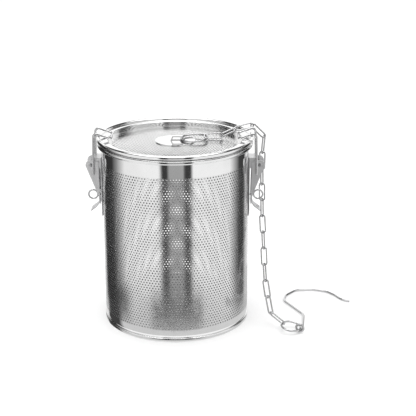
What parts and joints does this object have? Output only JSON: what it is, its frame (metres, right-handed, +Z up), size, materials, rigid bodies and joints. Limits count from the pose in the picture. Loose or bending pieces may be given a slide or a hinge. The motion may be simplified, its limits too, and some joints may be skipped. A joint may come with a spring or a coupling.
{
  "type": "brewing infuser basket",
  "caption": "Perforated stainless infuser basket with a recessed lid, two side toggle latches, a lid chain with ring and a wire hook.",
  "frame": {"origin": "on the basket's axis, in the plane it stands on", "axes": "+Z up along the axis, +X towards the latch that the chain hangs behind, -Y the front"},
  "size_m": [0.2605, 0.1488, 0.1894],
  "materials": {
    "perforated_steel": "bright perforated sheet",
    "polished_steel": "polished",
    "latch_steel": "tumbled pressed steel",
    "wire_steel": "polished wire",
    "chain_steel": "polished wire"
  },
  "bodies": {
    "basket": {"basket_wall": "perforated_steel", "top_rim_bead": "polished_steel", "base_seam_ring": "polished_steel", "bottom_disc": "perforated_steel", "latch_base_left": "latch_steel", "latch_base_right": "latch_steel", "pivot_pin_left": "latch_steel", "pivot_pin_right": "latch_steel", "padlock_eye_left": "wire_steel", "padlock_eye_right": "wire_steel", "latch_weld_spots": "latch_steel"},
    "lid": {"lid_rim": "polished_steel", "lid_disc": "perforated_steel", "lid_centre_plate": "latch_steel"},
    "lever_left": {"lever_left": "latch_steel"},
    "lever_right": {"lever_right": "latch_steel"},
    "bail_left": {"bail_left": "wire_steel"},
    "bail_right": {"bail_right": "wire_steel"},
    "ring_on_lid": {"lid_ring": "chain_steel"},
    "chain_on_lid": {"chain_link_01": "chain_steel", "chain_link_02": "chain_steel", "chain_link_03": "chain_steel", "chain_link_04": "chain_steel"},
    "chain_upper": {"chain_link_05": "chain_steel", "chain_link_06": "chain_steel", "chain_link_07": "chain_steel", "chain_link_08": "chain_steel", "chain_link_09": "chain_steel", "chain_link_10": "chain_steel"},
    "chain_lower": {"chain_link_11": "chain_steel", "chain_link_12": "chain_steel", "chain_link_13": "chain_steel", "chain_link_14": "chain_steel", "chain_link_15": "chain_steel", "chain_link_16": "chain_steel"},
    "hook_ring": {"hook_ring": "chain_steel"},
    "hook": {"hook": "chain_steel"}
  },
  "joints": [
    {"name": "lid_lift", "type": "slide", "parent": "basket", "child": "lid", "axis": [0, 0, 1], "range_m": [0, 0.006]},
    {"name": "lever_left", "type": "hinge", "parent": "basket", "child": "lever_left", "pos_m": [-0.08, 0, 0.1553], "axis": [0, 1, 0], "range_deg": [0, 95]},
    {"name": "lever_right", "type": "hinge", "parent": "basket", "child": "lever_right", "pos_m": [0.08, 0, 0.1553], "axis": [0, -1, 0], "range_deg": [0, 95]},
    {"name": "bail_left", "type": "hinge", "parent": "lever_left", "child": "bail_left", "pos_m": [-0.0775, 0, 0.1466], "axis": [0, -1, 0], "range_deg": [0, 190]},
    {"name": "bail_right", "type": "hinge", "parent": "lever_right", "child": "bail_right", "pos_m": [0.0775, 0, 0.1466], "axis": [0, 1, 0], "range_deg": [0, 190]},
    {"name": "ring_tilt", "type": "hinge", "parent": "lid", "child": "ring_on_lid", "pos_m": [0.0051, 0.002, 0.1783], "axis": [0, -1, 0], "range_deg": [0, 25]},
    {"name": "chain_lift", "type": "hinge", "parent": "ring_on_lid", "child": "chain_on_lid", "pos_m": [0.02972, 0.00634, 0.17933], "axis": [0.3419, -0.9397, 0], "range_deg": [0, 20]},
    {"name": "chain_swing", "type": "hinge", "parent": "chain_on_lid", "child": "chain_upper", "pos_m": [0.08589, 0.01824, 0.17554], "axis": [0, -1, 0], "range_deg": [0, 35]},
    {"name": "chain_fold", "type": "hinge", "parent": "chain_upper", "child": "chain_lower", "pos_m": [0.08508, 0.00468, 0.08196], "axis": [0, -1, 0], "range_deg": [0, 25]},
    {"name": "hook_ring_tilt", "type": "hinge", "parent": "chain_lower", "child": "hook_ring", "pos_m": [0.10293, -0.04084, 0.00641], "axis": [-0.5262, -0.8504, 0], "range_deg": [0, 45]},
    {"name": "hook_turn", "type": "hinge", "parent": "hook_ring", "child": "hook", "pos_m": [0.11884, -0.04888, 0.0045], "axis": [0, 0, 1], "range_deg": [-20, 20]}
  ],
  "couplings": [
    {"joint": "lever_left", "follows": "lid_lift", "rad_per_m": 276.3},
    {"joint": "lever_right", "follows": "lid_lift", "rad_per_m": 276.3},
    {"joint": "bail_left", "follows": "lid_lift", "rad_per_m": 552.6},
    {"joint": "bail_right", "follows": "lid_lift", "rad_per_m": 552.6}
  ]
}
